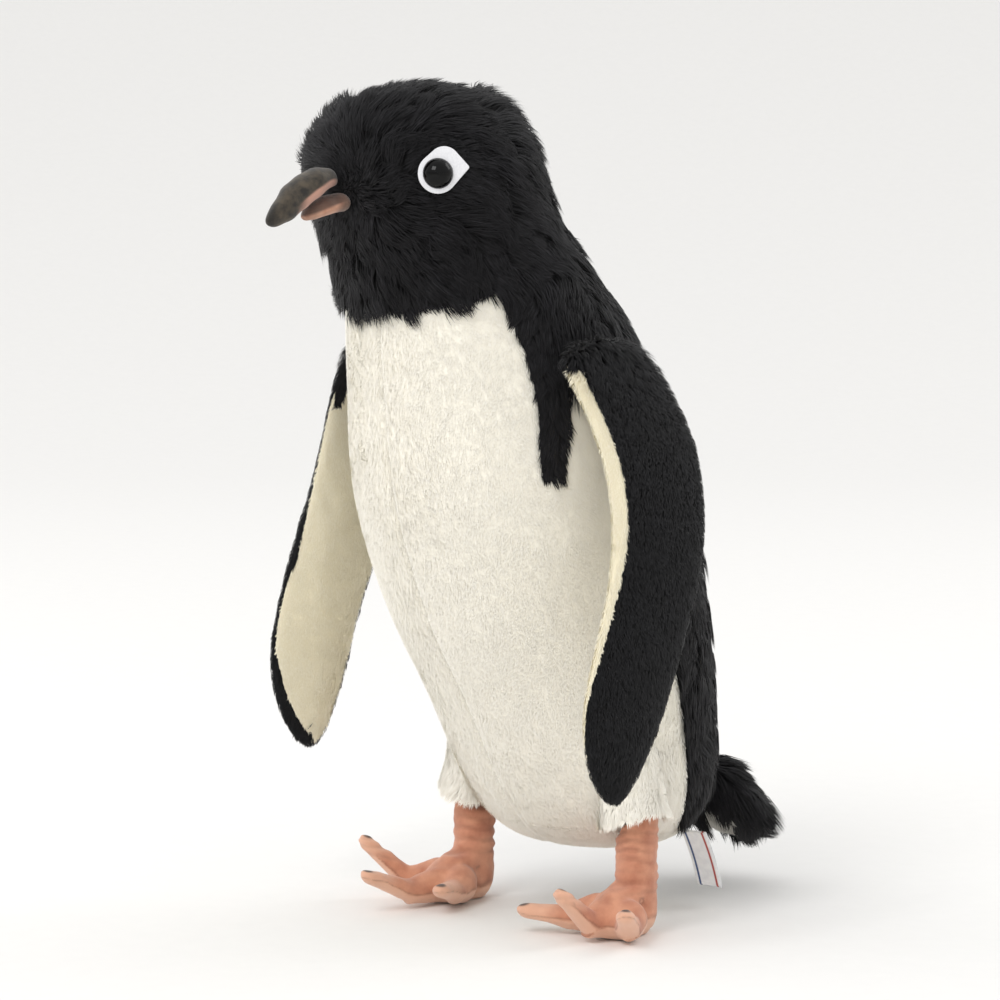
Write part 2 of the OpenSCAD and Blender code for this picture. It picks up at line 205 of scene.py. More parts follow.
@dataclass(frozen=True)
class PaintedCloth:
    """Cloth with colour on parts of it, as on the beak, the feet and the ribbon.

    Two masks on the mesh, "spray" and "mark", say where the second and third colours lie; on the beak and
    the feet, "mark" also lays painted shade.
    The plush's nap is 0.3 mm, too fine to show, so it is drawn at 0.8 mm.
    """

    name: str
    base: str
    patch: str
    spray: str
    mark: str
    mottle: float = 7.0  # mm across a sprayed cloud
    nap: float = 0.8  # mm
    roughness: float = 0.85
    sheen: float = 0.25

    def material(self) -> Material:
        """Builds the node tree of this cloth.

        Returns:
            The new material.
        """
        material = blank_material(self.name)
        inputs = {"Value": clouds(material, self.mottle, 4.0), "From Min": 0.35, "From Max": 0.68}
        spread = add_node(material, "ShaderNodeMapRange", inputs=inputs)
        coats = [(spread.outputs[0], self.patch)]
        for attribute, colour in (("spray", self.spray), ("mark", self.mark)):
            mask = add_node(material, "ShaderNodeAttribute", {"attribute_name": attribute})
            coats.append((mask.outputs["Fac"], colour))
        surface = {
            "Roughness": self.roughness,
            "Specular IOR Level": 0.25,
            "Sheen Weight": self.sheen,
            "Sheen Roughness": 0.6,
        }
        bump = {"Height": clouds(material, self.nap, 2.0), "Strength": 0.35, "Distance": 0.25 * MM}
        return complete(material, self.base, coats, surface, bump)


@dataclass(frozen=True)
class PlainFinish:
    """A single-coloured material with a fine grain: felt, paper or moulded plastic."""

    name: str
    colour: str
    shade: str
    grain: float  # mm
    relief: float  # mm
    roughness: float
    specular: float = 0.5

    def material(self) -> Material:
        """Builds the node tree of this finish.

        Returns:
            The new material.
        """
        material = blank_material(self.name)
        grain = clouds(material, self.grain, 3.0)
        surface = {"Roughness": self.roughness, "Specular IOR Level": self.specular}
        bump = {"Height": grain, "Strength": 0.5, "Distance": self.relief * MM}
        return complete(material, self.shade, [(grain, self.colour)], surface, bump)


class Finish(Enum):
    """The finishes of the toy and of its studio."""

    # Long acrylic pile: near black, with greyer fibres that catch the light in soft streaks
    BLACK_PILE = PileFinish("long acrylic pile, black", "#050506", "#111012", "#2b2a2e", 0.75, 0.12, 16.0)
    # Short clipped pile: the same black, more even
    BLACK_SHORT = PileFinish("short clipped pile, black", "#060607", "#121214", "#252528", 0.78, 0.15, 22.0)
    # Short soft pile, brushed: warm white, with painted shade greyer towards the roots and between the
    # tufts
    WHITE_PILE = PileFinish("short soft pile, white", "#f9f5e9", "#fffcf4", "#f7f1e3", 0.9, 0.0, 26.0)
    # Short clipped pile: yellower than the belly's, and even
    CREAM_PILE = PileFinish("short clipped pile, cream", "#f4ecd2", "#fff9e6", "#f3e9cb", 0.9, 0.0, 18.0)
    # Soft pile: grey white tips over grey roots, the roots darkened as painted shade
    GREY_PILE = PileFinish("soft pile, grey white", "#8f8c84", "#d2cfc6", "#9b978c", 0.8, 0.2, 9.0)
    # Peach microsuede: matt, with browner sprayed clouds, pinker toe tips and dark nails; the same dark
    # colour paints shade in the ankle's creases
    SUEDE = PaintedCloth("brushed microsuede, peach", "#cf9375", "#b2745a", "#e6b99e", "#2a1c16")
    # Short plush, airbrushed: olive brown with near black clouds, pink along the mouth
    BEAK_DARK = PaintedCloth(
        "airbrushed short plush, olive brown", "#4b4235", "#211d19", "#c29482", "#15120f", 3.2
    )
    # Short plush, airbrushed: pink tan that browns towards the tip
    BEAK_PINK = PaintedCloth(
        "airbrushed short plush, pink tan", "#cd9f86", "#ad7a62", "#80604f", "#2c2420", 4.0
    )
    # Pressed wool felt: matt white with a faint fibre grain
    FELT = PlainFinish("pressed felt, white", "#ebebed", "#d0d0d4", 0.7, 0.15, 0.95, 0.2)
    # Polished black acrylic: the eye's mirror-like dome
    EYE = PlainFinish("polished black acrylic", "#020202", "#010101", 4.0, 0.0, 0.05, 0.2)
    # Woven satin ribbon, blank but for a blue and a red edge thread; the weave drawn at 0.5 mm
    RIBBON = PaintedCloth(
        "woven satin ribbon, white", "#fbfbfb", "#efeff1", "#34507f", "#b4473f", 3.0, 0.5, 0.5, 0.0
    )
    # Matt white paper: the studio's pale, even floor
    PAPER = PlainFinish("matt white paper", "#eeedeb", "#ebeae8", 8.0, 0.0, 0.9, 0.1)


# The material made for each finish, built once and shared
_made: dict[Finish, Material] = {}


def dressed(piece: Object, finish: Finish) -> Object:
    """Gives a piece its material.

    Args:
        piece: the piece to dress.
        finish: which finish it gets.

    Returns:
        The same piece.
    """
    if finish not in _made:
        _made[finish] = finish.value.material()
    piece.data.materials.clear()
    piece.data.materials.append(_made[finish])
    return piece


# ---- Cloth and solids taken from the frame ----


@dataclass(frozen=True)
class Ride:
    """A piece fixed to one body."""

    body: str

    def hold(self, piece: Object) -> None:
        """Makes the piece move with the body."""
        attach(piece, self.body)


@dataclass(frozen=True)
class Bend:
    """A piece that crosses a joint, left fixed in place between the two bodies."""

    near: str
    far: str
    start: Vector
    end: Vector

    def hold(self, piece: Object) -> None:
        """Bakes the piece's placement into its mesh; the piece stays where it is and doesn't bend."""
        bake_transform(piece)


def joint(name: str) -> tuple[Vector, Vector]:
    """Finds a joint of the frame.

    Args:
        name: the joint's name.

    Returns:
        Its place and its axis, in the row frame.
    """
    found = next(j for j in frame["joints"] if j["name"] == name)
    return Vector(found["pos_m"]), Vector(found["axis"]).normalized()


def middle(node: str) -> Vector:
    """The centre of a CAD node's box."""
    low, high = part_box(node)
    return (low + high) / 2


def merged_copy(nodes: Sequence[str]) -> BMesh:
    """Copies CAD nodes into one mesh.

    Args:
        nodes: names of the nodes.

    Returns:
        The mesh, each face numbered by its node's place in the list.
    """
    shape = bmesh.new()
    for index, name in enumerate(nodes):
        known = len(shape.faces)
        shape.from_mesh(frame["nodes"][name].data)
        shape.faces.ensure_lookup_table()
        for face in shape.faces[known:]:
            face.material_index = index
    return shape


def welded_copy(node: str) -> BMesh:
    """Copies one CAD node and merges its doubled vertices."""
    shape = merged_copy([node])
    bmesh.ops.remove_doubles(shape, verts=shape.verts, dist=0.01 * MM)
    return shape


def outward_sheet(skins: Sequence[str], fillings: Sequence[str]) -> BMesh:
    """Joins the outer faces of sewn skins into one sheet of quads.

    Args:
        skins: the thin CAD skins, sewn edge to edge.
        fillings: the CAD solids behind them, which tell out from in.

    Returns:
        The sheet, each face numbered by its skin.
    """
    core = merged_copy(fillings)
    tree = BVHTree.FromBMesh(core)
    sheet = merged_copy(skins)
    sheet.normal_update()
    hidden = []
    for face in sheet.faces:
        centre = face.calc_center_median()
        nearest = tree.find_nearest(centre)[0]
        if (centre - nearest).normalized().dot(face.normal) < 0.5:
            hidden.append(face)
    bmesh.ops.delete(sheet, geom=hidden, context="FACES")
    bmesh.ops.remove_doubles(sheet, verts=sheet.verts, dist=0.02 * MM)
    bmesh.ops.join_triangles(
        sheet,
        faces=sheet.faces,
        cmp_materials=True,
        angle_face_threshold=math.radians(40),
        angle_shape_threshold=math.radians(60),
    )
    core.free()
    return sheet


def as_mesh(shape: BMesh, name: str) -> Mesh:
    """Writes a bmesh to a new mesh and frees it."""
    mesh = bpy.data.meshes.new(name)
    shape.to_mesh(mesh)
    shape.free()
    return mesh


def evaluated(mesh: Mesh, modifiers: Sequence[tuple[str, dict]]) -> Mesh:
    """Runs modifiers on a mesh.

    Args:
        mesh: the mesh to start from.
        modifiers: pairs of a modifier's type and its settings.

    Returns:
        A new mesh with the modifiers applied.
    """
    carrier = bpy.data.objects.new("carrier", mesh)
    bpy.context.scene.collection.objects.link(carrier)
    for kind, settings in modifiers:
        modifier = carrier.modifiers.new(kind.lower(), kind)
        for name, value in settings.items():
            setattr(modifier, name, value)
    graph = bpy.context.evaluated_depsgraph_get()
    result = bpy.data.meshes.new_from_object(carrier.evaluated_get(graph))
    bpy.data.objects.remove(carrier)
    return result


def refined(mesh: Mesh, levels: int) -> Mesh:
    """Rounds a mesh by subdivision."""
    return evaluated(mesh, [("SUBSURF", {"levels": levels, "render_levels": levels})])


def coordinates(mesh: Mesh) -> np.ndarray:
    """The places of a mesh's vertices, one row each."""
    places = np.empty(len(mesh.vertices) * 3, np.float32)
    mesh.vertices.foreach_get("co", places)
    return places.reshape(-1, 3).astype(float)


def outward(mesh: Mesh) -> np.ndarray:
    """The normals of a mesh's vertices, one row each."""
    normals = np.empty(len(mesh.vertices) * 3, np.float32)
    mesh.vertex_normals.foreach_get("vector", normals)
    return normals.reshape(-1, 3).astype(float)


def move_to(mesh: Mesh, places: np.ndarray) -> None:
    """Moves a mesh's vertices."""
    mesh.vertices.foreach_set("co", places.astype(np.float32).ravel())
    mesh.update()


def settle(mesh: Mesh, pressure: float, cap: float, held: np.ndarray) -> None:
    """Lets cloth swell and crease under its filling's pressure.

    Args:
        mesh: the sheet, which is changed.
        pressure: how hard the filling pushes.
        cap: the furthest a point may move, in mm.
        held: numbers of the vertices that stay in their seam.
    """
    rest = coordinates(mesh)
    carrier = bpy.data.objects.new("settling cloth", mesh)
    bpy.context.scene.collection.objects.link(carrier)
    carrier.vertex_groups.new(name="seam").add([int(i) for i in held], 1.0, "REPLACE")
    cloth = carrier.modifiers.new("cloth", "CLOTH")
    cloth.point_cache.frame_end = SETTLING
    how = cloth.settings
    how.quality = 6
    how.mass = 0.1
    how.tension_stiffness = 12
    how.compression_stiffness = 12
    how.shear_stiffness = 5
    how.bending_stiffness = 0.4
    how.use_pressure = True
    how.uniform_pressure_force = pressure
    how.effector_weights.gravity = 0
    if len(held):
        how.vertex_group_mass = "seam"
    for number in range(1, SETTLING + 1):
        bpy.context.scene.frame_set(number)
    result = carrier.evaluated_get(bpy.context.evaluated_depsgraph_get()).to_mesh()
    shift = coordinates(result) - rest
    far = np.linalg.norm(shift, axis=1, keepdims=True)
    carrier.modifiers.clear()
    bpy.data.objects.remove(carrier)
    bpy.context.scene.frame_set(1)
    move_to(mesh, rest + shift * np.minimum(1, cap * MM / np.maximum(far, 1e-9)))


def only_panel(mesh: Mesh, panel: int) -> Mesh:
    """Cuts one numbered panel out of a sheet.

    Args:
        mesh: the whole sheet.
        panel: the number its faces carry.

    Returns:
        The panel as a thin closed cloth.
    """
    shape = bmesh.new()
    shape.from_mesh(mesh)
    others = [face for face in shape.faces if face.material_index != panel]
    bmesh.ops.delete(shape, geom=others, context="FACES")
    for face in shape.faces:
        face.material_index = 0
        face.smooth = True
    depth = {"thickness": CLOTH * MM, "offset": -1.0, "use_even_offset": True}
    return evaluated(as_mesh(shape, "panel"), [("SOLIDIFY", depth)])


def cut_off(shape: BMesh, place: Vector, side: Vector) -> list[BMEdge]:
    """Cuts away what lies past a plane.

    Args:
        shape: the mesh, which is changed.
        place: a point of the plane.
        side: the direction from the plane to the part that goes.

    Returns:
        The edges of the cut.
    """
    everything = shape.verts[:] + shape.edges[:] + shape.faces[:]
    cut = bmesh.ops.bisect_plane(shape, geom=everything, plane_co=place, plane_no=side, clear_outer=True)
    return [e for e in cut["geom_cut"] if isinstance(e, BMEdge)]


def renumber(mesh: Mesh, width: Callable[[Vector, Vector], float]) -> None:
    """Moves a two-panel sheet's seam, by taking panel 0 over part of panel 1.

    Args:
        mesh: the sheet, which is changed.
        width: from a face's centre and normal, how far, in mm, the seam moves there.
    """
    shape = bmesh.new()
    shape.from_mesh(mesh)
    seam = [e for e in shape.edges if len({face.material_index for face in e.link_faces}) == 2]
    tree = KDTree(len(seam))
    for index, edge in enumerate(seam):
        tree.insert((edge.verts[0].co + edge.verts[1].co) / 2, index)
    tree.balance()
    for face in shape.faces:
        centre = face.calc_center_median()
        if face.material_index == 1 and tree.find(centre)[2] / MM < width(centre, face.normal):
            face.material_index = 0
    shape.to_mesh(mesh)
    shape.free()


def smooth_copy(node: str, levels: int, sharp: float = 180.0) -> Mesh:
    """Copies a CAD node as a smooth mesh.

    Args:
        node: the node's name.
        levels: how often it is subdivided.
        sharp: edges that turn by more than this many degrees stay sharp.

    Returns:
        The new mesh.
    """
    shape = welded_copy(node)
    bmesh.ops.join_triangles(
        shape,
        faces=shape.faces,
        angle_face_threshold=math.radians(30),
        angle_shape_threshold=math.radians(60),
    )
    for face in shape.faces:
        face.smooth = True
    mesh = as_mesh(shape, node)
    if levels:
        mesh = refined(mesh, levels)
    if sharp < 180:
        mesh.set_sharp_from_angle(angle=math.radians(sharp))
    return mesh


def paint(mesh: Mesh, name: str, values: np.ndarray) -> None:
    """Stores one number a vertex, from 0 to 1, for a material to read."""
    layer = mesh.attributes.new(name, "FLOAT", "POINT")
    layer.data.foreach_set("value", np.clip(values, 0, 1).astype(np.float32))


def add_piece(name: str, mesh: Mesh) -> Object:
    """Puts a finished mesh into the scene as a piece."""
    mesh.name = name
    piece = bpy.data.objects.new(name, mesh)
    bpy.context.scene.collection.objects.link(piece)
    LOG.info("%s: %d faces", name, len(mesh.polygons))
    return piece


# ---- Pile ----


def ramp(values: np.ndarray | float, start: float, end: float, most: float = 1.0) -> np.ndarray:
    """Rises from 0 at the start to 1 at the end, and stays between 0 and the most."""
    return np.clip((values - start) / (end - start), 0, most)


def swirl(points: np.ndarray, size: float, seed: int) -> np.ndarray:
    """Smooth random vectors over space.

    Args:
        points: where they are wanted.
        size: how far apart, in mm, they begin to differ.
        seed: makes them the same in each run.

    Returns:
        One vector a point, mostly within 1 each way.
    """
    rng = np.random.default_rng(seed)
    total = np.zeros_like(points)
    for _ in range(6):
        rate = rng.normal(size=(3, 3)) * math.pi / (size * MM) / math.sqrt(3)
        total += np.sin(points @ rate + rng.uniform(0, 2 * math.pi, 3))
    return total / math.sqrt(6)


def unit(vectors: np.ndarray) -> np.ndarray:
    """Vectors scaled to length 1, row by row."""
    return vectors / np.maximum(np.linalg.norm(vectors, axis=1, keepdims=True), 1e-12)


@dataclass(frozen=True)
class Comb:
    """Which way a pile lies: a steady drift, and a push away from a place."""

    drift: tuple[float, float, float]
    away: Vector | None = None
    wander: float = 0.3
    size: float = 22.0  # mm between changes of direction

    def lay(self, points: np.ndarray, normals: np.ndarray, seed: int) -> np.ndarray:
        """Finds the lie of the fibres.

        Args:
            points: their roots.
            normals: the cloth's normals there.
            seed: makes the wander repeatable.

        Returns:
            One direction along the cloth for each root.
        """
        flow = np.tile(np.array(self.drift), (len(points), 1))
        if self.away is not None:
            flow = flow + unit(points - np.array(self.away))
        flow = flow + self.wander * swirl(points, self.size, seed)
        return unit(flow - (flow * normals).sum(1, keepdims=True) * normals)


@dataclass(frozen=True)
class Pile:
    """One cut of pile: sizes in mm, angles in degrees."""

    length: float
    width: float
    density: float  # fibres to a square mm
    lift: float
    curl: float = 15.0  # how much further the tip lies down than the root
    scatter: float = 0.2
    tuft: float = 5.0  # mm between tuft centres
    gather: float = 0.4
    uneven: float = 0.2  # difference in length from tuft to tuft
    relief: float = 1.0  # how much the light picks out single fibres


def blade() -> tuple[np.ndarray, np.ndarray, list[list[int]]]:
    """Makes one tapering fibre from a strip of two cells.

    Returns:
        For each vertex its side (-1 to 1) and its place along the fibre (0 to 1), and the faces.
    """
    strip = bmesh.new()
    bmesh.ops.create_grid(strip, x_segments=1, y_segments=2, size=1.0)
    top = [v for v in strip.verts if v.co.y > 0.9]
    bmesh.ops.pointmerge(strip, verts=top, merge_co=Vector((0, 1, 0)))
    strip.verts.index_update()
    side = np.array([v.co.x * (0.8 if v.co.y > -0.5 else 1.0) for v in strip.verts])
    along = np.array([(v.co.y + 1) / 2 for v in strip.verts])
    faces = [[v.index for v in face.verts] for face in strip.faces]
    strip.free()
    return side, along, faces


def roots_on(mesh: Mesh, panel: int, density: float, rng: np.random.Generator) -> tuple:
    """Scatters fibre roots over one panel of a sheet.

    Args:
        mesh: the sheet.
        panel: the number its faces carry.
        density: fibres to a square mm.
        rng: the source of chance.

    Returns:
        The roots and the cloth's normals there.
    """
    mesh.calc_loop_triangles()
    triangles = np.empty(len(mesh.loop_triangles) * 3, np.int32)
    mesh.loop_triangles.foreach_get("vertices", triangles)
    owner = np.empty(len(mesh.loop_triangles), np.int32)
    mesh.loop_triangles.foreach_get("polygon_index", owner)
    number = np.empty(len(mesh.polygons), np.int32)
    mesh.polygons.foreach_get("material_index", number)
    triangles = triangles.reshape(-1, 3)[number[owner] == panel]
    corner, normal = coordinates(mesh)[triangles], outward(mesh)[triangles]
    across = np.cross(corner[:, 1] - corner[:, 0], corner[:, 2] - corner[:, 0])
    area = np.linalg.norm(across, axis=1) / 2
    count = min(MOST_FIBRES, int(density * area.sum() / MM**2))
    chosen = rng.choice(len(area), count, p=area / area.sum())
    u, v = rng.random((2, count, 1))
    u, v = np.where(u + v > 1, 1 - u, u), np.where(u + v > 1, 1 - v, v)
    weights = ((1 - u - v), u, v)
    roots = sum(w * corner[chosen, k] for k, w in enumerate(weights))
    return roots, unit(sum(w * normal[chosen, k] for k, w in enumerate(weights)))


def nearest_tuft(roots: np.ndarray, centres: int) -> np.ndarray:
    """For each root, the number of the closest of the first few roots."""
    tree = KDTree(centres)
    for index in range(centres):
        tree.insert(roots[index], index)
    tree.balance()
    return np.array([tree.find(root)[1] for root in roots])


def fibre_mesh(
    places: np.ndarray, faces: list[list[int]], facing: np.ndarray, values: dict[str, np.ndarray]
) -> Mesh:
    """Writes a whole pile to one mesh.

    Args:
        places: the vertices, by fibre, then by vertex of the fibre.
        faces: the faces of one fibre.
        facing: the shading normal of each fibre.
        values: the numbers that the material reads, one a vertex, by name.

    Returns:
        The new mesh.
    """
    count, number = places.shape[:2]
    corners = np.concatenate([np.array(face) for face in faces])
    loops = (np.arange(count)[:, None] * number + corners).ravel()
    sizes = np.array([len(face) for face in faces])
    starts = np.concatenate([[0], np.cumsum(np.tile(sizes, count))[:-1]])
    pelt = bpy.data.meshes.new("pile")
    pelt.vertices.add(count * number)
    pelt.vertices.foreach_set("co", places.astype(np.float32).ravel())
    pelt.loops.add(len(loops))
    pelt.loops.foreach_set("vertex_index", loops.astype(np.int32))
    pelt.polygons.add(len(starts))
    pelt.polygons.foreach_set("loop_start", starts.astype(np.int32))
    pelt.update(calc_edges=True)
    for name, numbers in values.items():
        paint(pelt, name, numbers)
    pelt.normals_split_custom_set_from_vertices(np.repeat(facing, number, axis=0))
    return pelt


def plant(
    name: str,
    mesh: Mesh,
    panel: int,
    pile: Pile,
    comb: Comb,
    seed: int,
    share: Shares | None = None,
) -> Object:
    """Plants a pile on one panel of a sheet.

    Args:
        name: the new piece's name.
        mesh: the sheet.
        panel: the number of the panel.
        pile: the cut of pile.
        comb: which way it lies.
        seed: makes it the same in each run.
        share: gives the share of the full length at each root.

    Returns:
        The pile as one piece.
    """
    rng = np.random.default_rng(seed)
    roots, normals = roots_on(mesh, panel, pile.density, rng)
    cut = np.ones(len(roots)) if share is None else share(roots)
    roots, normals, cut = (part[cut > LEAST_SHARE] for part in (roots, normals, cut))
    count = len(roots)
    lay = comb.lay(roots, normals, seed)
    tufts = max(4, int(count / pile.density / pile.tuft**2))
    tuft = nearest_tuft(roots, tufts)
    lean = rng.normal(size=(tufts, 3)) * pile.scatter
    lay = unit(lay + lean[tuft] + rng.normal(size=(count, 3)) * pile.scatter * 0.6)
    lay = unit(lay - (lay * normals).sum(1, keepdims=True) * normals)
    height = np.clip(1 + pile.uneven * rng.normal(size=tufts), 0.45, 1.7)[tuft]
    length = (pile.length * MM * cut * height * rng.uniform(0.75, 1.15, count))[:, None]
    # Each fibre has a root half and a tip half, the tip half lying further down
    low, high = np.radians([pile.lift + pile.curl, pile.lift - pile.curl])
    bent = roots + 0.5 * length * (lay * math.cos(low) + normals * math.sin(low))
    tip = bent + 0.5 * length * (lay * math.cos(high) + normals * math.sin(high))
    # The first fibre of each tuft draws the tips of the others to its own
    pull = pile.gather * rng.uniform(0.3, 1, (count, 1))
    tip += pull * (tip[:tufts][tuft] - tip)
    bent += 0.35 * pull * (bent[:tufts][tuft] - bent)
    run = unit(tip - roots)
    side = unit(np.cross(run, normals))
    twist = rng.normal(size=(count, 1)) * 0.6 * pile.relief
    side = side * np.cos(twist) + np.cross(run, side) * np.sin(twist)
    width = (pile.width * MM * rng.uniform(0.7, 1.3, count))[:, None]
    across, along, faces = blade()
    upper = np.where(along[None, :, None] < 0.75, bent[:, None], tip[:, None])
    stations = np.where(along[None, :, None] < 0.5, roots[:, None], upper)
    places = stations + across[None, :, None] * 0.5 * width[:, None] * side[:, None]
    shine = 0.35 * np.cross(side, run) + rng.normal(size=(count, 3)) * 0.12
    facing = unit(normals + pile.relief * shine)
    tint = np.repeat(rng.random(count) ** 1.5, len(along))
    values = {"along": np.tile(along, count), "tint": tint}
    return add_piece(name, fibre_mesh(places, faces, facing, values))


def clear_of(nodes: Sequence[str], gap: float, reach: float, least: float = 0.0) -> Shares:
    """Shortens pile near hard pieces.

    Args:
        nodes: the CAD pieces that stay uncovered.
        gap: no fibre grows nearer than this, in mm.
        reach: the pile is full length from this far on, in mm.
        least: the share of its length that it starts with.

    Returns:
        A function from roots to shares of the full length.
    """
    shape = merged_copy(nodes)
    tree = BVHTree.FromBMesh(shape)
    shape.free()

    def share(roots: np.ndarray) -> np.ndarray:
        """The share of the full length at each root."""
        far = np.array([tree.find_nearest(root)[3] for root in roots]) / MM
        full = least + (1 - least) * ramp(far, gap, reach)
        return np.where(far < gap, 0.0, full)

    return share


# ---- Sub-assemblies ----


def lay_cloth(
    name: str,
    mesh: Mesh,
    panel: int,
    nodes: Sequence[str],
    finish: Finish,
    hold: Ride | Bend,
) -> None:
    """Makes one panel of a sheet into a piece of cloth.

    Args:
        name: the piece's name.
        mesh: the sheet.
        panel: the number of the panel.
        nodes: the CAD nodes that it stands for.
        finish: its finish.
        hold: what it moves with.
    """
    cloth = dressed(add_piece(name, only_panel(mesh, panel)), finish)
    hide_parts(*nodes)
    hold.hold(cloth)


@dataclass(frozen=True)
class Panel:
    """One of the two panels of a flipper or tail, with the filling it stands for as well."""

    skin: str
    finish: Finish
    pile: Pile
    filling: tuple[str, ...] = ()


def upholster(
    mesh: Mesh,
    panels: Sequence[Panel],
    comb: Comb,
    seed: int,
    bend: Bend,
    share: Shares | None = None,
) -> None:
    """Makes each panel of a sheet into cloth with its pile.

    Args:
        mesh: the sheet.
        panels: its panels, in the order of their numbers.
        comb: which way the pile lies.
        seed: makes the first panel's pile repeatable; the others count on from it.
        bend: the joint that the pieces cross.
        share: gives the share of the pile's full length at each root.
    """
    for number, panel in enumerate(panels):
        nodes = (panel.skin, *panel.filling)
        lay_cloth(f"{panel.skin}_cloth", mesh, number, nodes, panel.finish, bend)
        pelt = plant(f"{panel.skin}_pile", mesh, number, panel.pile, comb, seed + number, share)
        bend.hold(dressed(pelt, panel.finish))


def neck_bend() -> Bend:
    """The joint that the cloth crosses at the neck seam."""
    place, axis = joint("head_turn")
    return Bend("torso", "head", place - axis * 14 * MM, place + axis * 14 * MM)


def past_neck(mesh: Mesh) -> np.ndarray:
    """How far, in mm, each vertex lies above the neck seam."""
    place, axis = joint("head_turn")
    return (coordinates(mesh) - np.array(place)) @ np.array(axis) / MM


@dataclass
class Body:
    """The sewn body: back, two belly halves, shoulder tabs and base."""

    seam_depth: float = 1.7  # mm
    seam_width: float = 2.4  # mm
    swell: float = 1.4  # mm at most
    back: Pile = Pile(8.5, 0.4, 3.8, 15, 12, 0.2, 5.0, 0.35, 0.18, 0.7)
    tab: Pile = Pile(5.5, 0.4, 5.0, 18, 12, 0.22, 4.0, 0.3, 0.15, 0.5)
    belly: Pile = Pile(1.6, 0.24, 7.0, 34, 14, 0.22, 3.2, 0.0, 0.03, 0.12)
    base: Pile = Pile(1.6, 0.24, 6.0, 34, 14, 0.22, 3.2, 0.0, 0.03, 0.12)

    def groove(self, mesh: Mesh) -> None:
        """Pulls the belly in along its middle seam."""
        places, normals = coordinates(mesh), outward(mesh)
        front = normals[:, 1] < -0.2
        depth = self.seam_depth * MM * np.exp(-((places[:, 0] / (self.seam_width * MM)) ** 2))
        move_to(mesh, places - normals * (depth * front)[:, None])

    def build(self) -> None:
        """Makes the cloths and their pile."""
        piles = {
            "belly_left": self.belly,
            "belly_right": self.belly,
            "left_shoulder_tab": self.tab,
            "right_shoulder_tab": self.tab,
            "back_skin": self.back,
            "base_panel": self.base,
        }
        sheet = outward_sheet(list(piles), ["torso_stuffing", "pellet_bag"])
        mesh = refined(as_mesh(sheet, "body sheet"), 1)
        settle(mesh, BODY_PRESSURE, self.swell, np.flatnonzero(past_neck(mesh) > -NECK_SEAM))
        mesh = refined(mesh, 1)
        self.groove(mesh)
        down = Comb((0, 0.1, -1.0))
        bend = neck_bend()
        for number, (skin, pile) in enumerate(piles.items()):
            finish = Finish.BLACK_PILE if pile in (self.back, self.tab) else Finish.WHITE_PILE
            lay_cloth(f"{skin}_cloth", mesh, number, [skin], finish, bend)
            halves = (("left_", 1), ("right_", -1)) if skin == "back_skin" else (("", 0),)
            for half, sign in halves:
                length = self.length(skin, sign)
                seed = 40 + number * 3 + sign
                pelt = plant(f"{skin}_{half}pile", mesh, number, pile, down, seed, length)
                bend.hold(dressed(pelt, finish))

    def length(self, skin: str, sign: int) -> Shares:
        """The share of full length over a panel.

        Args:
            skin: the panel.
            sign: 1 or -1 for the left or right half of it, or 0 for all of it.

        Returns:
            A function from roots to shares.
        """
        label = clear_of(["sewn_label"], 1.2, 22)
        cuffs = clear_of(["left_thigh_cuff", "right_thigh_cuff"], 0.0, 8, 2.6)

        def share(roots: np.ndarray) -> np.ndarray:
            """Short along the belly's middle seam, long over the cuffs, and on one half only."""
            across = roots[:, 0] / MM
            kept = (across * sign >= 0).astype(float)
            if skin in ("belly_left", "belly_right"):
                kept *= 1 - 0.4 * np.exp(-((across / 1.6) ** 2)) * (roots[:, 1] < 0)
                kept *= cuffs(roots)
            if skin in ("base_panel", "back_skin"):
                kept *= label(roots)
            return kept

        return share


@dataclass
class Head:
    """The head's cloth and pile."""

    swell: float = 1.2  # mm at most
    pile: Pile = Pile(7.5, 0.36, 5.5, 24, 14, 0.26, 4.2, 0.36, 0.28, 0.7)
    face: float = 9.0  # mm round the beak over which the pile is shorter

    def build(self) -> None:
        """Makes the cloth and its pile."""
        mesh = refined(as_mesh(outward_sheet(["head_skin"], ["head_stuffing"]), "head sheet"), 1)
        settle(mesh, BODY_PRESSURE, self.swell, np.flatnonzero(past_neck(mesh) < NECK_SEAM))
        mesh = refined(mesh, 1)
        bend = neck_bend()
        lay_cloth("head_cloth", mesh, 0, ["head_skin"], Finish.BLACK_PILE, bend)
        parting = middle("upper_beak") + Vector((0, 16 * MM, 0))
        comb = Comb((0, 0.25, -0.45), parting, 0.35, 18.0)
        eyes = clear_of(["left_eye_patch", "right_eye_patch"], 1.1, 9, 0.3)
        mouth = clear_of(["upper_beak", "lower_beak"], 0.9, self.face, 0.45)
        pelt = plant("head_pile", mesh, 0, self.pile, comb, 71, lambda roots: eyes(roots) * mouth(roots))
        bend.hold(dressed(pelt, Finish.BLACK_PILE))


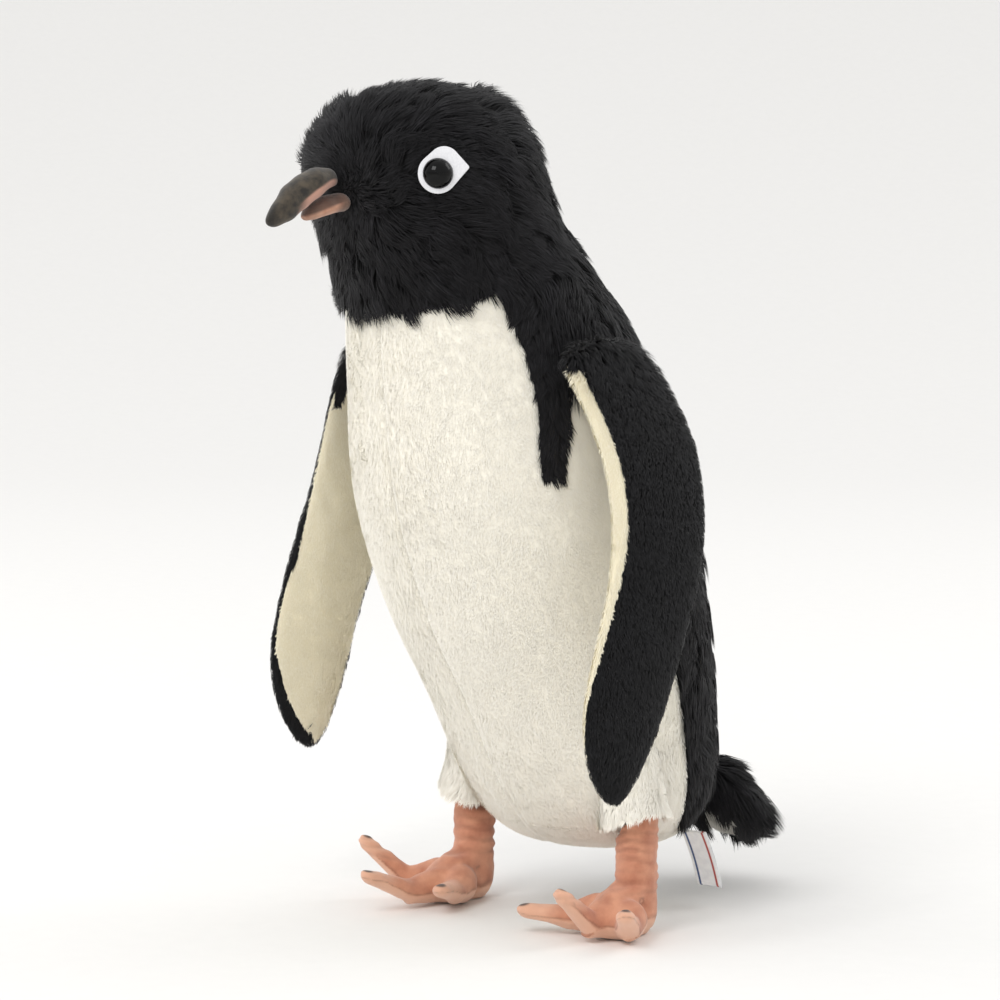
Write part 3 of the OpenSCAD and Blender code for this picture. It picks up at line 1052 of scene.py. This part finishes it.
@dataclass
class Beak:
    """The padded beak: a dark hooked upper half and a pink lower half.

    Places along the beak run from 0 at its base to 1 at its tip.
    """

    stripe: float = 0.66  # where the upper half's pink edge ends
    close: float = 0.5  # mm by which the lower half is pressed up
    shade: float = 0.14  # how far its root is darkened with painted shade, where it meets the head's fur
    full: float = 0.35  # where the upper half is no longer drawn in towards its root
    wrinkle: float = 0.18  # mm

    @staticmethod
    def slim_at(along: np.ndarray, upper: bool) -> np.ndarray:
        """How much thinner the plush is than its frame, at places along the beak."""
        if upper:
            return 0.86 + 0.06 * np.sin(along * math.pi) - 0.3 * ramp(along, 0.7, 1.0) ** 1.5
        return 1.0 - 0.1 * along

    def build(self) -> None:
        """Makes both halves."""
        low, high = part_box("upper_beak")
        for node, finish in (("upper_beak", Finish.BEAK_DARK), ("lower_beak", Finish.BEAK_PINK)):
            upper = node == "upper_beak"
            mesh = smooth_copy(node, 2)
            places = coordinates(mesh)
            along = np.clip((high.y - places[:, 1]) / (high.y - low.y), 0, 1)
            middle_line = np.polynomial.Polynomial.fit(along, places[:, 2], 3)(along)
            slim = self.slim_at(along, upper)
            root = ramp(along, 0, self.full) if upper else 1.0
            places[:, 0] *= slim * (0.4 + 0.6 * root)
            places[:, 2] = middle_line + (places[:, 2] - middle_line) * slim * (0.66 + 0.34 * root)
            places[:, 2] += 0 if upper else self.close * MM
            under = (middle_line - places[:, 2]) / (4 * MM)
            if upper:
                spray = ramp(under, -0.05, 0.15) * ramp(along, self.stripe, self.stripe - 0.15)
                mark = ramp(along, 0.86, 0.98, 0.7)
            else:
                spray = ramp(along, 0.3, 0.45, 0.6)
                # painted shade along the lower half's top, where it meets the upper half
                mark = ramp(under, -0.1, -0.4, 0.8)
            paint(mesh, "spray", spray)
            # the root's darkening is painted shade where the beak meets the fur; the rest of the mark is
            # the upper tip's own dark colour and, on the lower half, painted shade along the mouth
            paint(mesh, "mark", np.maximum(ramp(along, self.shade, 0, 0.75), mark))
            move_to(mesh, places)
            wrinkle = swirl(places, 4, 5)[:, 0] * self.wrinkle * MM
            move_to(mesh, places + outward(mesh) * wrinkle[:, None])
            piece = dressed(add_piece(f"{node}_plush", mesh), finish)
            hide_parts(node)
            Ride("head").hold(piece)


@dataclass
class Eye:
    """A glossy safety eye on its felt patch."""

    side: str
    edge: float = 0.3  # mm, rounding of the felt's cut edge

    def build(self) -> None:
        """Makes the dome and the patch."""
        for node, name, mesh, finish in (
            ("eye", "eye_dome", smooth_copy(f"{self.side}_eye", 0, 35), Finish.EYE),
            ("eye_patch", "eye_felt", self.felt(), Finish.FELT),
        ):
            piece = dressed(add_piece(f"{self.side}_{name}", mesh), finish)
            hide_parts(f"{self.side}_{node}")
            Ride("head").hold(piece)

    def felt(self) -> Mesh:
        """Cuts the patch and rounds its edge.

        Returns:
            The patch's mesh.
        """
        shape = welded_copy(f"{self.side}_eye_patch")
        flat = math.radians(2)
        bmesh.ops.dissolve_limit(shape, angle_limit=flat, verts=shape.verts, edges=shape.edges)
        rims = [e for e in shape.edges if len(e.link_faces) == 2 and e.calc_face_angle() > 1.0]
        how = {"segments": 3, "profile": 0.5, "affect": "EDGES", "material": -1}
        bmesh.ops.bevel(shape, geom=rims, offset=self.edge * MM, **how)
        for face in shape.faces:
            face.smooth = True
        felt = as_mesh(shape, "patch")
        felt.set_sharp_from_angle(angle=math.radians(40))
        return felt


@dataclass
class Flipper:
    """A flat padded flipper, black outside and cream inside, crossing the shoulder joint."""

    side: str
    swell: float = 1.5  # mm at most
    covered: float = 186.0  # mm above the floor, over which the shoulder's pile hides the edge
    wide_from: float = 110.0  # mm above the floor, below which the cloth is wider than its frame
    wider: float = 0.22
    outer: Pile = Pile(2.2, 0.32, 6.5, 24, 14, 0.2, 3.0, 0.2, 0.1, 0.4)
    inner: Pile = Pile(1.3, 0.26, 7.0, 34, 14, 0.25, 3.0, 0.0, 0.05, 0.15)

    def build(self) -> None:
        """Makes the two cloths and their pile."""
        name = f"{self.side}_flipper"
        padding = f"{name}_padding"
        sheet = outward_sheet([f"{name}_outer", f"{name}_inner"], [padding])
        mesh = refined(as_mesh(sheet, "flipper sheet"), 2)
        place, _ = joint(f"{name}_swing")
        held = np.flatnonzero(coordinates(mesh)[:, 2] > place.z - 4 * MM)
        settle(mesh, FLIPPER_PRESSURE, self.swell, held)
        self.round_tip(mesh)
        mesh = refined(mesh, 1)
        renumber(mesh, lambda centre, normal: self.edge_width(centre.z / MM, normal.y < 0))
        sign = 1 if self.side == "left" else -1
        bend = Bend("torso", name, place + Vector((0, 0, 4 * MM)), place - Vector((0, 0, 26 * MM)))
        comb = Comb((0.15 * sign, -0.1, -1.0), None, 0.16, 25.0)
        panels = (
            Panel(f"{name}_outer", Finish.BLACK_SHORT, self.outer, (padding,)),
            Panel(f"{name}_inner", Finish.CREAM_PILE, self.inner),
        )
        upholster(mesh, panels, comb, 81 + 3 * sign, bend, self.longer_at_top)

    def round_tip(self, mesh: Mesh) -> None:
        """Widens the lower end, which the flat pattern pulls to a point."""
        places = coordinates(mesh)
        height = places[:, 2] / MM
        centre = np.polynomial.Polynomial.fit(height, places[:, 1], 2)(height)
        part = ramp(height, self.wide_from, self.wide_from - 45)
        wider = 1 + self.wider * part * part * (3 - 2 * part)
        places[:, 1] = centre + (places[:, 1] - centre) * wider
        move_to(mesh, places)

    def edge_width(self, height: float, front: bool) -> float:
        """How far, in mm, the black cloth goes round the edge at a height in mm."""
        if self.side == "right":
            return 4.5 if front else 1.2
        if height > self.covered + 12:
            return 14.0
        return 3.7 * ramp(height, 142, 92) if front else 1.6

    def longer_at_top(self, roots: np.ndarray) -> np.ndarray:
        """Full length over the flipper, and longer where it meets the shoulder."""
        return 1 + 1.9 * ramp(roots[:, 2] / MM, self.covered, self.covered + 18)


@dataclass(frozen=True)
class Toe:
    """One toe: degrees from straight ahead, reach to its tip in mm, and the tip's height in mm."""

    turn: float
    reach: float
    height: float

    def path(self, base: np.ndarray, sign: float) -> np.ndarray:
        """The toe's middle line: root, knuckle and tip, above the floor point of the ankle."""
        turn = math.radians(self.turn)
        out = np.array([sign * math.sin(turn), -math.cos(turn), 0.0])
        up = np.array([0.0, 0.0, 1.0])
        stations = ((13.0, 7.5), (0.62 * self.reach, 6.2), (self.reach, self.height))
        return np.array([base + (out * far + up * high) * MM for far, high in stations])

    def frame_of(self, places: np.ndarray, base: np.ndarray, sign: float) -> tuple:
        """Places seen from the toe's middle line.

        Args:
            places: one row a point.
            base: the floor under the ankle.
            sign: 1 on the toy's left side, -1 on its right.

        Returns:
            The nearest points of the line, how far along it they lie (0 to 1), the toe's
            direction there, and how far from them the places are, in metres.
        """
        path = self.path(base, sign)
        best = np.full(len(places), np.inf)
        spots, along, runs = np.zeros_like(places), np.zeros(len(places)), np.zeros_like(places)
        for index in (0, 1):
            run = path[index + 1] - path[index]
            part = np.clip((places - path[index]) @ run / (run @ run), 0, 1)
            spot = path[index] + part[:, None] * run
            far = np.linalg.norm(places - spot, axis=1)
            closer = far < best
            best[closer] = far[closer]
            spots[closer] = spot[closer]
            along[closer] = (index + part[closer]) / 2
            runs[closer] = run / np.linalg.norm(run)
        return spots, along, runs, best


@dataclass
class Leg:
    """A suede foot and ankle under a fluffy cuff."""

    side: str
    toes: tuple[Toe, ...]
    ankle: float = 7.0  # mm, radius of the leg
    slim: float = 0.24  # how much narrower a toe is at its tip than its frame
    flat: float = 0.4  # how much lower it is there
    seam: float = 1.3  # mm above the floor
    tread: float = 4.0  # mm above the floor, below which the foot is pressed flat on it
    voxel: float = 0.8  # mm
    ring: float = 3.8  # mm between the creases round the ankle
    crease: float = 0.36  # mm
    dent: float = 0.32  # mm
    cuff_edge: float = 40.0  # mm above the floor
    tuck: float = 3.5  # mm by which the cuff's top reaches into the belly's pile
    lean_in: float = 4.5  # mm by which its top lies nearer the belly than its frame
    cuff: Pile = Pile(4.2, 0.3, 9.0, 22, 12, 0.2, 3.0, 0.15, 0.12, 0.15)

    def foot_solid(self) -> Mesh:
        """Fuses the suede and its filling with the hidden shin into one soft solid.

        Returns:
            The fused mesh.
        """
        shape = welded_copy(f"{self.side}_foot_stuffing")
        shape.normal_update()
        for vert in shape.verts:
            vert.co += vert.normal * 0.6 * MM
        shape.from_mesh(frame["nodes"][f"{self.side}_foot_upper"].data)
        top = self.base + Vector((0, 0.5 * MM, 34 * MM))
        shin = bmesh.ops.create_cone(
            shape,
            cap_ends=True,
            segments=32,
            radius1=self.ankle * MM,
            radius2=self.ankle * MM,
            depth=30 * MM,
            matrix=Matrix.Translation(top),
        )["verts"]
        for vert in shin:
            if vert.co.z > top.z:
                vert.co.z = top.z + 4 * MM + 0.9 * self.sign * (vert.co.x - top.x)
        fusing = ("REMESH", {"mode": "VOXEL", "voxel_size": self.voxel * MM})
        return evaluated(as_mesh(shape, "foot"), [fusing, ("SMOOTH", {"factor": 0.5, "iterations": 7})])

    @property
    def base(self) -> Vector:
        """The point of the floor under the ankle."""
        return middle(f"{self.side}_leg_wire") * Vector((1, 1, 0))

    @property
    def sign(self) -> int:
        """1 on the toy's left side, -1 on its right."""
        return 1 if self.side == "left" else -1

    def build(self) -> None:
        """Makes the foot, its sole and the cuff."""
        mesh = self.foot_solid()
        height = coordinates(mesh)[:, 2] / MM
        places, crease = self.creased(mesh, height)
        places = self.slimmed(places)
        places[:, 2] = self.trodden(places[:, 2])
        move_to(mesh, places)
        self.spray(mesh, height, crease)
        for face in mesh.polygons:
            face.use_smooth = True
        foot = f"{self.side}_foot"
        hidden = (f"{foot}_stuffing", f"{self.side}_leg_wire")
        for name, keep, nodes in (
            (f"{foot}_suede", 1, (f"{foot}_upper", *hidden)),
            (f"{foot}_sole_suede", -1, (f"{foot}_sole",)),
        ):
            piece = dressed(add_piece(name, self.sliced(mesh, keep)), Finish.SUEDE)
            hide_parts(*nodes)
            Ride("torso").hold(piece)
        self.build_cuff()

    def creased(self, mesh: Mesh, height: np.ndarray) -> tuple[np.ndarray, np.ndarray]:
        """Rings the ankle with creases and dents the whole foot.

        Args:
            mesh: the foot, which isn't changed.
            height: each vertex's height in mm.

        Returns:
            The moved vertices, and how far in mm the creases stand out at each.
        """
        places = coordinates(mesh)
        rings = np.sin((height + 1.5 * swirl(places, 14, 3)[:, 0]) * 2 * math.pi / self.ring)
        ankle = ramp(height, 13, 17) * ramp(height, 40, 36)
        crease = self.crease * ankle * rings * (0.6 + 0.4 * swirl(places, 9, 8)[:, 1])
        folds = 1 - np.abs(swirl(places, 5, 12)[:, 2])
        dents = self.dent * np.clip(folds, -1, 1) * (height > 3)
        return places + outward(mesh) * ((crease + dents) * MM)[:, None], crease

    def spray(self, mesh: Mesh, height: np.ndarray, crease: np.ndarray) -> None:
        """Paints the nails, the paler toes and underside, the seam, and painted shade in the creases.

        Args:
            mesh: the shaped foot.
            height: each vertex's height in mm.
            crease: how far in mm the creases stand out at each.
        """
        places = coordinates(mesh)
        nail, blush = np.zeros(len(places)), np.zeros(len(places))
        for toe in self.toes:
            path = toe.path(np.array(self.base), self.sign)
            run = (path[2] - path[1]) / np.linalg.norm(path[2] - path[1])
            over = np.cross(np.cross(run, [0, 0, 1]), run)
            tip = path[2] + (run * 2.6 + over / np.linalg.norm(over) * 2.4) * MM
            near = np.linalg.norm((places - tip) * [1, 1, 1.4], axis=1) / MM
            nail = np.maximum(nail, ramp(near, 2.5, 1.6, 0.92))
            blush = np.maximum(blush, ramp(near, 15, 3, 0.6))
        facing = outward(mesh)[:, 2] + 0.12 * swirl(places, 7, 21)[:, 0]
        low = ramp(height, 18, 14)
        under = ramp(facing, -0.18, -0.38) * low
        seam = np.exp(-(((facing + 0.16) / 0.08) ** 2)) * low
        paint(mesh, "spray", np.maximum(blush, 0.75 * under))
        # painted shade in the ankle's creases, in the dark mark colour
        shadow = 0.18 * ramp(crease, 0, -0.3)
        paint(mesh, "mark", np.maximum(np.maximum(nail, 0.3 * seam), shadow))

    def trodden(self, heights: np.ndarray) -> np.ndarray:
        """Heights of the foot with its underside stretched down until it stands on the floor."""
        tread, floor = self.tread * MM, 0.05 * MM
        stretch = (tread - floor) / (tread - heights.min())
        return np.where(heights < tread, tread - (tread - heights) * stretch, heights)

    def slimmed(self, places: np.ndarray) -> np.ndarray:
        """Draws each toe in round its middle line, more towards its tip.

        Args:
            places: the foot's vertices.

        Returns:
            The moved vertices.
        """
        views = [toe.frame_of(places, np.array(self.base), self.sign) for toe in self.toes]
        own = np.argmin([far for *_, far in views], axis=0)
        result = places.copy()
        for index, (spots, along, runs, far) in enumerate(views):
            inside = (own == index) & (far < 11 * MM)
            offset = places - spots
            ahead = (offset * runs).sum(1, keepdims=True) * runs
            across = unit(np.cross(runs, [0.0, 0.0, 1.0]))
            beside = (offset * across).sum(1, keepdims=True) * across
            part = ramp(along, 0, 0.9)[:, None]
            thin, flat = 1 - self.slim * part, 1 - self.flat * part
            moved = spots + ahead + beside * thin + (offset - ahead - beside) * flat
            result[inside] = moved[inside]
        return result

    def sliced(self, mesh: Mesh, keep: int) -> Mesh:
        """Cuts the foot at its sole seam.

        Args:
            mesh: the whole foot.
            keep: 1 for the part above the seam, -1 for the sole below it.

        Returns:
            The part as a closed mesh.
        """
        shape = bmesh.new()
        shape.from_mesh(mesh)
        rim = cut_off(shape, Vector((0, 0, self.seam * MM)), Vector((0, 0, -keep)))
        bmesh.ops.holes_fill(shape, edges=rim, sides=0)
        return as_mesh(shape, "foot part")

    @staticmethod
    def shorter_up(roots: np.ndarray) -> np.ndarray:
        """Full length at the cuff's edge, and as short as the belly's pile at its top."""
        return 1 - 0.6 * ramp(roots[:, 2] / MM, 42, 52)

    def build_cuff(self) -> None:
        """Makes the cuff, whose lower edge rises on its outer side."""
        shape = welded_copy(f"{self.side}_thigh_cuff")
        shape.normal_update()
        inner = []
        for face in shape.faces:
            centre = face.calc_center_median() - self.base
            outwards = Vector((centre.x, centre.y, 0)).normalized()
            if face.normal.dot(outwards) < 0.5:
                inner.append(face)
        bmesh.ops.delete(shape, geom=inner, context="FACES")
        lower_edge = self.base + Vector((0, 0, self.cuff_edge * MM))
        cut_off(shape, lower_edge, Vector((0.3 * self.sign, 0, -1)))
        for face in shape.faces:
            face.material_index = 0
        for vert in shape.verts:
            if vert.is_boundary and vert.co.z > 50 * MM:
                vert.co.z += self.tuck * MM
            vert.co.x -= self.sign * self.lean_in * ramp(vert.co.z / MM, 42, 56) * MM
        bmesh.ops.subdivide_edges(shape, edges=shape.edges, cuts=1)
        mesh = as_mesh(shape, "cuff")
        torso = Ride("torso")
        nodes = [f"{self.side}_thigh_cuff"]
        lay_cloth(f"{self.side}_cuff_cloth", mesh, 0, nodes, Finish.WHITE_PILE, torso)
        comb = Comb((0.05 * self.sign, 0, -1.0), None, 0.4, 9.0)
        seed = 120 + self.sign
        pelt = plant(f"{self.side}_cuff_pile", mesh, 0, self.cuff, comb, seed, self.shorter_up)
        torso.hold(dressed(pelt, Finish.WHITE_PILE))


@dataclass
class Tail:
    """The shaggy tail, crossing the joint at its root."""

    top: Pile = Pile(11.0, 0.5, 6.0, 14, 10, 0.24, 5.5, 0.7, 0.35, 0.7)
    under: Pile = Pile(5.0, 0.45, 5.5, 22, 12, 0.3, 3.5, 0.3, 0.15, 0.4)
    edge: float = 11.0  # mm by which the black pile goes round the sides
    drawn_in: float = 0.22  # how much shorter the cloth is than its frame
    slope: tuple[float, float, float] = (0, 0.857, -0.515)  # the way it points

    def build(self) -> None:
        """Makes the two cloths and their pile."""
        sheet = outward_sheet(["tail_top", "tail_underside"], ["tail_stuffing"])
        mesh = refined(as_mesh(sheet, "tail sheet"), 2)
        renumber(mesh, lambda centre, normal: self.edge)
        place, _ = joint("tail_lift")
        places = coordinates(mesh)
        places[:, 1] -= self.drawn_in * np.maximum(0, places[:, 1] - place.y)
        move_to(mesh, places)
        out = Vector(self.slope)
        bend = Bend("torso", "tail", place + out * 2 * MM, place + out * 20 * MM)
        comb = Comb((0, 0.1, -0.9), place - out * 22 * MM, 0.25, 14.0)
        panels = (
            Panel("tail_top", Finish.BLACK_PILE, self.top, ("tail_stuffing",)),
            Panel("tail_underside", Finish.GREY_PILE, self.under),
        )
        upholster(mesh, panels, comb, 131, bend)


@dataclass
class Label:
    """A blank folded ribbon sewn into the rear seam; sizes in mm, lean in degrees."""

    width: float = 10.0
    length: float = 24.0
    lean: float = 27.0
    leaf_gap: float = 0.7
    bow: float = 0.8
    thickness: float = 0.2
    thread: float = 3.6  # from the middle to the edge threads

    def build(self) -> None:
        """Folds the ribbon and hangs it from its seam."""
        shape = bmesh.new()
        bmesh.ops.create_grid(shape, x_segments=24, y_segments=48, size=1.0)
        radius = self.leaf_gap / 2
        leaf = self.length - radius
        curl = math.pi * radius
        run = 2 * leaf + curl
        for vert in shape.verts:
            along = (vert.co.y + 1) / 2 * run
            if along < leaf:
                down, out = along, -radius
            elif along < leaf + curl:
                angle = (along - leaf) / radius
                down, out = leaf + radius * math.sin(angle), -radius * math.cos(angle)
            else:
                down, out = run - along, radius
            bow = self.bow * math.sin(math.pi * down / self.length)
            vert.co = Vector((vert.co.x * self.width / 2, out + bow, -down)) * MM
        for face in shape.faces:
            face.smooth = True
        place, axis = joint("label_flap")
        turn = math.atan2(axis.y, axis.x)
        shape.transform(
            Matrix.Translation(place)
            @ Matrix.Rotation(turn, 4, "Z")
            @ Matrix.Rotation(math.radians(self.lean), 4, "X")
        )
        depth = {"thickness": self.thickness * MM, "offset": 0.0}
        mesh = evaluated(as_mesh(shape, "label"), [("SOLIDIFY", depth)])
        places = coordinates(mesh) - np.array(place)
        across = places @ np.array([math.cos(turn), math.sin(turn), 0]) / MM
        for mask, thread in (("spray", -self.thread), ("mark", self.thread)):
            paint(mesh, mask, (np.abs(across - thread) < 0.5).astype(float))
        piece = dressed(add_piece("sewn_label_ribbon", mesh), Finish.RIBBON)
        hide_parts("sewn_label")
        Ride("label").hold(piece)


@dataclass
class Studio:
    """A plain pale floor, soft light and the camera."""

    azimuth: float = 48.0  # degrees from straight ahead of the toy
    elevation: float = 6.0  # degrees
    distance: float = 1.4  # m
    lens: float = 143.1  # mm
    target: tuple[float, float, float] = (-0.0236, 0.00704, 0.1453)
    flat: float = 1.6  # m, radius of the level part of the floor
    floor: float = 6.0  # m, half the side of the whole floor
    rise: float = 1.6  # m, how high its edge curves up
    aim: float = 0.12  # m above the floor, where the lights point
    sky: float = 0.95  # strength of the even light from all round

    def camera(self) -> None:
        """Makes the camera and looks through it."""
        turn, rise = math.radians(self.azimuth), math.radians(self.elevation)
        level = math.cos(rise)
        back = Vector((math.sin(turn) * level, -math.cos(turn) * level, math.sin(rise)))
        data = bpy.data.cameras.new("camera")
        data.lens = self.lens
        data.clip_end = 20
        camera = bpy.data.objects.new("camera", data)
        camera.location = Vector(self.target) + back * self.distance
        camera.rotation_euler = back.to_track_quat("Z", "Y").to_euler()
        bpy.context.scene.collection.objects.link(camera)
        bpy.context.scene.camera = camera

    def light(self, name: str, place: tuple, size: float, power: float) -> None:
        """Adds a square soft light that faces the toy.

        Args:
            name: its name.
            place: where it hangs, in metres.
            size: the length of its side, in metres.
            power: its power in watts.
        """
        data = bpy.data.lights.new(name, "AREA")
        data.size, data.energy = size, power
        lamp = bpy.data.objects.new(name, data)
        lamp.location = place
        back = Vector(place) - Vector((0, 0, self.aim))
        lamp.rotation_euler = back.to_track_quat("Z", "Y").to_euler()
        bpy.context.scene.collection.objects.link(lamp)

    def build(self) -> None:
        """Makes the floor, the sky and the lights."""
        shape = bmesh.new()
        bmesh.ops.create_grid(shape, x_segments=120, y_segments=120, size=self.floor)
        for vert in shape.verts:
            part = ramp(vert.co.xy.length, self.flat, self.floor)
            vert.co.z = self.rise * part**2 * (3 - 2 * part)
        for face in shape.faces:
            face.smooth = True
        floor = add_piece("floor", as_mesh(shape, "floor"))
        floor.data.materials.append(Finish.PAPER.value.material())
        world = bpy.data.worlds.new("studio")
        world.use_nodes = True
        sky = world.node_tree.nodes["Background"].inputs
        sky["Color"].default_value = linear("#fdfdfd")
        sky["Strength"].default_value = self.sky
        bpy.context.scene.world = world
        self.light("key", (0.5, -1.5, 1.6), 0.9, 16)
        self.light("fill", (-1.6, -0.9, 0.9), 1.6, 7)
        self.light("rim", (0.6, 1.6, 1.4), 1.0, 7)
        bpy.context.scene.view_settings.view_transform = "Standard"


def main() -> None:
    """Builds the toy and its studio in order."""
    logging.basicConfig(level=logging.INFO, format="%(name)s: %(message)s")
    studio = Studio()
    studio.camera()
    Body().build()
    Head().build()
    Beak().build()
    for side in ("left", "right"):
        Eye(side).build()
        Flipper(side).build()
    Leg("left", (Toe(0, 33.6, 17), Toe(-42, 36.5, 8), Toe(40, 30.7, 12))).build()
    Leg("right", (Toe(0, 48, 13.5), Toe(-30, 34.6, 9), Toe(42, 37.4, 19))).build()
    Tail().build()
    Label().build()
    studio.build()


if __name__ == "__main__":
    main()
